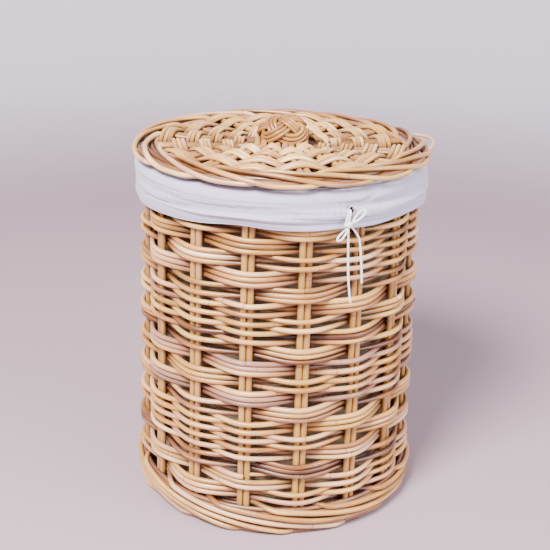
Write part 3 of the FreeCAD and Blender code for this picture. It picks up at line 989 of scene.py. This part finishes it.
def knob_lashing():
    """Three canes from the dome's foot down into the lid."""
    canes = Canes(9)
    for n in range(3):
        a = math.radians(-14.0 + 9.0 * n)
        points = [around(KNOB_R + out, a, KNOB_LOW + up) + KNOB_MIDDLE for out, up in
                  ((-0.006, 0.017), (0.0030, 0.0125), (0.0120, 0.0050), (0.0195, 0.0030),
                   (0.0240, -0.0040))]
        canes.add(rounded(points, [0.012, 0.012, 0.012], 0.0015), 0.00225, 0.6)
    return canes


def loose_cane():
    """One border cane that stands proud on the right."""
    canes = Canes(9)
    theta = np.radians(np.linspace(-9.0, 20.0, 40))
    t = np.linspace(0.0, 1.0, 40)
    r = BORDER_R - 0.005 + 0.0065 * np.sin(math.pi * t) ** 0.8
    z = LID_Z + 0.006 - 0.004 * t + 0.004 * np.sin(math.pi * t)
    canes.add(around(r, theta, z), 0.0024, 0.6)
    return canes


keep(knob_dome().build("knob_turks_head", knob_mat), "lid", "rattan_lid", "lid_knob")
keep(knob_core().build("knob_core_coil", knob_mat), "lid", "rattan_lid", "lid_knob_core")
keep(knob_lashing().build("knob_lashing_canes", lid_mat),
     "lid", "rattan_lid", "lid_knob_lashing")
keep(loose_cane().build("lid_border_loose_cane", lid_mat), "lid", "rattan_lid")

# ---------------- liner


def cloth_sheet(name, profile, displace, material, opening=None):
    """A cloth turned about Z along the profile and moved along its normal by displace.

    The normals point to the wall: outward from the bag, inward from the cuff outside.
    """
    profile = np.asarray(profile, dtype=float)
    rows = len(profile)
    tangent = unit_rows(np.gradient(profile, axis=0))
    theta = circle(COLS)
    off, rise = displace(rows, theta, profile)
    r = profile[:, :1] + tangent[:, 1:] * off
    z = profile[:, 1:] - tangent[:, :1] * off + rise
    verts = around(r, theta, z).reshape(-1, 3)
    quads = grid_quads(np.arange(rows * COLS).reshape(rows, COLS))
    if opening is not None:
        quads = quads[~opening(verts[quads].mean(axis=1))]
    across, down = np.meshgrid(theta * CUFF_R, lengths_along(profile))
    cloth = np.stack([across, down, np.zeros_like(across)], axis=-1)
    return new_mesh(name, verts, quads, material, cloth=cloth.reshape(-1, 3))


def bag_folds(rows, theta, profile):
    """Soft upright folds; the bag hangs a little narrower than the wall."""
    up = (profile[:, 1] - BAG_LOW) / (FOLD_Z - BAG_LOW)
    top = (BAG_TOP - BAG_LOW) / (FOLD_Z - BAG_LOW)
    folds = smooth_field(rows, COLS, 26.0, 7.0, 61) * 0.0016
    broad = smooth_field(rows, COLS, 14.0, 26.0, 62) * 0.0014
    fade = unit(np.minimum(up * 8.0, (top - up) * 6.0))[:, None]
    return -(np.abs(folds + broad) + 0.0105) * fade, 0.0


def cuff_line():
    """The cuff's profile from inside the mouth, over the rim and down to its turned hem."""
    line = [(FOLD_IN, z) for z in np.linspace(BAG_TOP, FOLD_Z, 10)[:-1]]
    for a in np.linspace(math.pi, 0.0, 26):
        line.append((FOLD_MID + FOLD_HALF * math.cos(a), FOLD_Z + FOLD_HALF * math.sin(a)))
    for z in np.linspace(FOLD_Z, HEM_Z, 74)[1:]:
        below = max(0.0, (HEM_Z + 0.010 - z) / 0.010)
        line.append((FOLD_OUT - 0.0022 * below ** 2, z))
    # the hem turns under and up again
    for a in np.linspace(0.0, math.pi, 7)[1:]:
        line.append((FOLD_OUT - 0.0022 - 0.0008 * (1.0 - math.cos(a)),
                     HEM_Z - 0.0008 * math.sin(a)))
    for z in np.linspace(HEM_Z, HEM_Z + 0.012, 8)[1:]:
        line.append((FOLD_OUT - 0.0038 + 0.0010 * (z - HEM_Z) / 0.012, z))
    return line


def bow_distance(theta):
    """Distance along the cuff from the eyelet, to the right of it."""
    return ((theta - BOW_AZ + math.pi) % TAU - math.pi) * CUFF_R - EYELET_ACROSS


# where the hem is pulled up: direction and half width in degrees, and the rise
HEM_LIFTS = ((-104.0, 11.0, 0.0060), (-66.0, 9.0, 0.0035), (-38.0, 16.0, 0.0080),
             (-150.0, 14.0, -0.0030), (60.0, 30.0, 0.004))


def cuff_wrinkles(rows, theta, profile):
    """Wrinkles of the cuff's outside, how far they stand out and how its hem rises."""
    index = np.arange(rows)
    outside = unit((index - 22.0) / 12.0)
    hem = unit((index - (rows - 15.0)) / 4.0)
    x = bow_distance(theta)[None, :]
    z = profile[:, 1:]
    above = z - CORD_Z
    out = 0.0014 + smooth_field(rows, COLS, 10.0, 40.0, 71) * 0.0017
    out += smooth_field(rows, COLS, 3.6, 26.0, 72) * 0.0007
    ridges = 1.0 - np.abs(smooth_field(rows, COLS, 7.0, 40.0, 73))
    out -= np.clip(ridges, -0.8, 1.0) * 0.0020
    # gathers where the cord pulls the casing toward the eyelet
    gathers = np.sin(x * TAU / 0.0085 + 0.7) * 0.0010
    out += bump(x, 0.055) * bump(above, 0.012) * gathers
    out += smooth_field(rows, COLS, 9.0, 1.6, 74) * 0.00045 * bump(above, 0.010)
    # the crease that climbs from the eyelet to the right
    crease = bump(above - 0.42 * x, 0.0035) * unit(x / 0.02)
    out -= crease * bump(x, 0.07) * 0.0026
    # the casing's two seams
    for seam_z in (0.0095, -0.0095):
        out -= bump(above - seam_z, 0.0011) * 0.0009
    most = np.where(out < 0.0, 0.0012, 0.0050)
    out = most * np.tanh(out / most) * (outside * (1.0 - 0.65 * hem))[:, None]
    sag = smooth_field(2, COLS, 1.0, 26.0, 75)[0] * 0.0020
    for centre, width, rise in HEM_LIFTS:
        away = (theta - math.radians(centre) + math.pi) % TAU - math.pi
        sag = sag + rise * bump(away, math.radians(width))
    return -out, unit((FOLD_Z - 0.01 - z) / 0.04) * outside[:, None] * sag


def at_eyelet(points):
    """True for the cuff's faces inside the eyelet's opening."""
    across = bow_distance(np.arctan2(points[:, 1], points[:, 0]))
    inside = np.hypot(across / HOLE_W, (points[:, 2] - CORD_Z) / HOLE_H) < 1.0
    return inside & (radius_of(points) > FOLD_MID)


def bag_floor():
    """The round floor of the bag."""
    cols = COLS // 4
    radii = np.linspace(0.004, FOLD_IN - 0.0006, FLOOR_RINGS)[:, None]
    ripple = smooth_field(FLOOR_RINGS, cols, 2.5, 5.0, 81) * 0.0005
    level = BAG_LOW + 0.0014 + ripple * unit((FOLD_IN - radii) / 0.02)
    verts = around(radii, circle(cols), level).reshape(-1, 3)
    index = np.arange(FLOOR_RINGS * cols).reshape(FLOOR_RINGS, cols)
    quads = np.concatenate([turned_over(grid_quads(index)), fan_quads(index[0])])
    return new_mesh("liner_floor", verts, quads, cloth_mat, cloth=verts)


def floor_seam():
    """The seam where the floor meets the side."""
    canes = Canes(8)
    theta = circle(420)
    r = FOLD_IN - 0.0022 + 0.0003 * np.sin(theta * 90.0)
    canes.add(around(r, theta, BAG_LOW + 0.0032), 0.0013, 0.5, closed=True, up=UP)
    return canes


bag_profile = [(FOLD_IN, z) for z in np.linspace(BAG_LOW + 0.0022, BAG_TOP, 70)]
# painted shade: a dark sheet just outside the bag stands in for the shade seen through the gaps of
# the weave
painted_shade_profile = [(r + PAINTED_SHADE_GAP, z) for r, z in bag_profile]
bag = cloth_sheet("liner_bag", bag_profile, bag_folds, cloth_mat)
painted_shade_sheet = cloth_sheet("liner_painted_shade_sheet", painted_shade_profile, bag_folds, painted_shade_cloth_mat)
cuff = cloth_sheet("liner_cuff", cuff_line(), cuff_wrinkles, cloth_mat, at_eyelet)
bottom = bag_floor()
keep(cuff, "basket", "liner_cotton", "liner_side")
keep(bag, "basket", "liner_cotton")
keep(painted_shade_sheet, "basket", "liner_cotton")
keep(bottom, "basket", "liner_cotton", "liner_base")
keep(floor_seam().build("liner_floor_seam", cord_mat), "basket", "liner_cotton")

# ---------------- drawstring and bow


def bow_point(across, z, out=0.0):
    """A point in front of the cuff at the bow: to its right, at height z, further out."""
    r = BOW_R + out
    return (r * math.cos(BOW_AZ) - across * math.sin(BOW_AZ),
            r * math.sin(BOW_AZ) + across * math.cos(BOW_AZ), z)


def cord_curve(name, points):
    """A cord whose smooth line has the points as its control points."""
    curve = bpy.data.curves.new(name, "CURVE")
    curve.dimensions = "3D"
    spline = curve.splines.new("NURBS")
    spline.points.add(len(points) - 1)
    for p, q in zip(spline.points, points):
        p.co = (q[0], q[1], q[2], 1.0)
    spline.order_u = 3
    spline.use_endpoint_u = True
    spline.resolution_u = 10
    curve.bevel_depth = CORD / 2.0
    curve.bevel_resolution = 3
    curve.use_fill_caps = True
    curve.materials.append(cord_mat)
    obj = bpy.data.objects.new(name, curve)
    bpy.context.collection.objects.link(obj)
    return obj


def cord_length(points):
    """Length of straight runs joined by arcs that take 0.45 of the shorter run."""
    points = np.asarray(points)
    total = lengths_along(points)[-1]
    for before, corner, after in zip(points, points[1:], points[2:]):
        back = before - corner
        ahead = after - corner
        sizes = np.linalg.norm(back), np.linalg.norm(ahead)
        reach = 0.45 * min(sizes)
        turn = math.pi - math.acos(float(back @ ahead) / (sizes[0] * sizes[1]))
        total += reach / math.tan(turn / 2.0) * turn - 2.0 * reach
    return float(total)


def loop_points(side, tilt, twist, reach):
    """A bow's loop: tilted across the cuff and twisted about its own length, in degrees."""
    t = math.radians(tilt)
    w = math.radians(twist)
    points = []
    for along, across in ((LOOP_START, 0.0017), (LOOP_SHOULDER, LOOP_HALF), (reach, LOOP_HALF),
                          (reach, -LOOP_HALF), (LOOP_SHOULDER, -LOOP_HALF),
                          (LOOP_START, -0.0017)):
        level = across * math.cos(w)
        right = along * math.cos(t) - level * math.sin(t)
        rise = along * math.sin(t) + level * math.cos(t)
        points.append(bow_point(side * right, KNOT_Z + rise, LOOP_OUT + across * math.sin(w)))
    return points


def knot_wraps():
    """A few wraps of the cord over each other."""
    canes = Canes(10)
    for tilt, width, height in ((12.0, 0.0042, 0.0033), (-24.0, 0.0038, 0.0035),
                                (84.0, 0.0031, 0.0040)):
        c = width * math.cos(math.radians(tilt))
        s = width * math.sin(math.radians(tilt))
        path = [bow_point(math.cos(t) * c, KNOT_Z + math.cos(t) * s,
                          0.0042 + height * math.sin(t)) for t in circle(40)]
        canes.add(path, CORD / 2.0 * 1.06, 0.5, closed=True)
    return canes


def cord_leads():
    """Both ends of the cord on their way from the eyelet to the knot."""
    canes = Canes(10)
    for side in (-1.0, 1.0):
        across = EYELET_ACROSS - 0.0030 + side * 0.0014
        points = [bow_point(across, CORD_Z + 0.0003, -0.0065),
                  bow_point(across, CORD_Z, 0.0006),
                  bow_point(side * 0.0019, KNOT_Z + 0.003, 0.0016)]
        canes.add(rounded(points, [0.004], 0.001), CORD / 2.0, 0.5)
    return canes


def cord_in_casing():
    canes = Canes(8)
    eyelet_az = BOW_AZ + EYELET_ACROSS / CUFF_R
    theta = np.linspace(eyelet_az + 0.03, eyelet_az + TAU - 0.03, 240)
    r = high("drawstring_ring")[0] - CORD / 2.0 - 0.0016
    canes.add(around(r, theta, CORD_Z), CORD / 2.0, 0.5, up=UP)
    return canes


def eyelet_stitching():
    """Stitches round the slit in the cuff."""
    canes = Canes(8)
    path = [bow_point(EYELET_ACROSS + HOLE_W * 1.12 * math.cos(a),
                      CORD_Z + HOLE_H * 1.12 * math.sin(a), -0.0024) for a in circle(40)]
    canes.add(path, 0.0009, 0.5, closed=True)
    return canes


long_points = [bow_point(0.0012, KNOT_Z - 0.0055, 0.0018),
               bow_point(0.0026, KNOT_Z - 0.030, 0.0012),
               bow_point(0.0038, KNOT_Z - 0.056, 0.0009),
               bow_point(0.0056, KNOT_Z - 0.081, 0.0012),
               bow_point(0.0090, KNOT_Z - 0.1055, 0.0019)]
short_points = [bow_point(0.0042, KNOT_Z - 0.0036, 0.0018),
                bow_point(0.0172, KNOT_Z - 0.0165, 0.0014),
                bow_point(0.0202, KNOT_Z - 0.038, 0.0012),
                bow_point(0.0228, KNOT_Z - 0.060, 0.0014),
                bow_point(0.0240, KNOT_Z - 0.081, 0.0019)]
for name, cad_node, points, far_end in (
        ("bow_cord_left", "bow_loop_left", loop_points(-1.0, -48.0, -106.0, 0.0242), "knot"),
        ("bow_cord_right", "bow_loop_right", loop_points(1.0, 44.0, 78.0, 0.0260), "knot"),
        ("cord_tail_long", "drawstring_tail_long", long_points, "bare"),
        ("cord_tail_short", "drawstring_tail_short", short_points, "bare")):
    cord = cord_curve(name, points)
    keep(cord, "basket", "drawstring_cotton", cad_node)
    cord_length(points)

keep(knot_wraps().build("bow_knot_wraps", cord_mat), "basket", "drawstring_cotton", "bow_knot")
keep(cord_leads().build("cord_leads", cord_mat),
     "basket", "drawstring_cotton", "drawstring_leads")
keep(cord_in_casing().build("cord_in_casing", cord_mat),
     "basket", "drawstring_cotton", "drawstring_ring")
keep(eyelet_stitching().build("eyelet_stitching", hem_mat), "basket", "liner_cotton")

# ---------------- floor, light and camera


def floor_material():
    """A pale floor whose colour lightens with the distance: painted light that brightens the
    backdrop.
    """
    material, tree, shader = new_material("studio_floor", {"Roughness": 0.7})
    far = attribute_node(tree, "far")["Fac"]
    colour = mix(tree, "MIX", far, (0.325, 0.240, 0.272), (0.76, 0.68, 0.78))
    feed(tree, shader.inputs["Base Color"], colour)
    return material


def studio_floor():
    """A floor that curves up all round into a plain backdrop."""
    flat_r = 2.6
    bend = 1.2
    line = [(0.001, 0.0)] + [(r, 0.0) for r in np.linspace(0.4, flat_r, 23)]
    for a in np.linspace(0.0, math.pi / 2.0, 14)[1:]:
        line.append((flat_r + bend * math.sin(a), bend - bend * math.cos(a)))
    line.append((flat_r + bend, 3.0))
    line = np.array(line)
    steps = 96
    verts = around(line[:, :1], circle(steps), line[:, 1:]).reshape(-1, 3)
    index = np.arange(len(verts)).reshape(-1, steps)
    far = smoothstep(unit((radius_of(verts) - 1.3) / 1.7))
    return new_mesh("studio_floor", verts, turned_over(grid_quads(index)), floor_material(),
                    far=far)


def area_light(name, location, size, power, colour):
    """A round lamp that points at the middle of the basket."""
    data = bpy.data.lights.new(name, "AREA")
    data.shape = "DISK"
    data.size = size
    data.energy = power
    data.color = colour
    obj = bpy.data.objects.new(name, data)
    bpy.context.collection.objects.link(obj)
    obj.location = location
    heading = Vector((0.0, 0.0, 0.3)) - Vector(location)
    obj.rotation_euler = heading.to_track_quat("-Z", "Y").to_euler()


def add_camera():
    """The camera stands in front of the basket, a little above it, and looks down at it."""
    data = bpy.data.cameras.new("camera")
    data.lens = 66.57
    data.sensor_width = 36.0
    data.shift_x = 0.004
    data.shift_y = -0.10
    camera = bpy.data.objects.new("camera", data)
    bpy.context.collection.objects.link(camera)
    azimuth = Matrix.Rotation(math.radians(1.0), 4, "Z")
    pitch = Matrix.Rotation(math.radians(90.0 - 17.93), 4, "X")
    roll = Matrix.Rotation(math.radians(1.44), 4, "Z")
    camera.location = azimuth @ Vector((-0.0096, -1.3798, 0.8310))
    camera.rotation_euler = (azimuth @ pitch @ roll).to_euler()
    bpy.context.scene.camera = camera


floor = studio_floor()
world = bpy.data.worlds.new("studio")
bpy.context.scene.world = world
world.use_nodes = True
background = world.node_tree.nodes["Background"]
background.inputs["Color"].default_value = (1.0, 1.0, 1.0, 1.0)
background.inputs["Strength"].default_value = 0.46
area_light("key", (-0.9, -1.6, 2.3), 1.0, 350.0, (1.0, 0.985, 0.97))
area_light("fill", (1.8, -1.0, 1.1), 1.8, 84.0, (0.96, 0.97, 1.0))
add_camera()
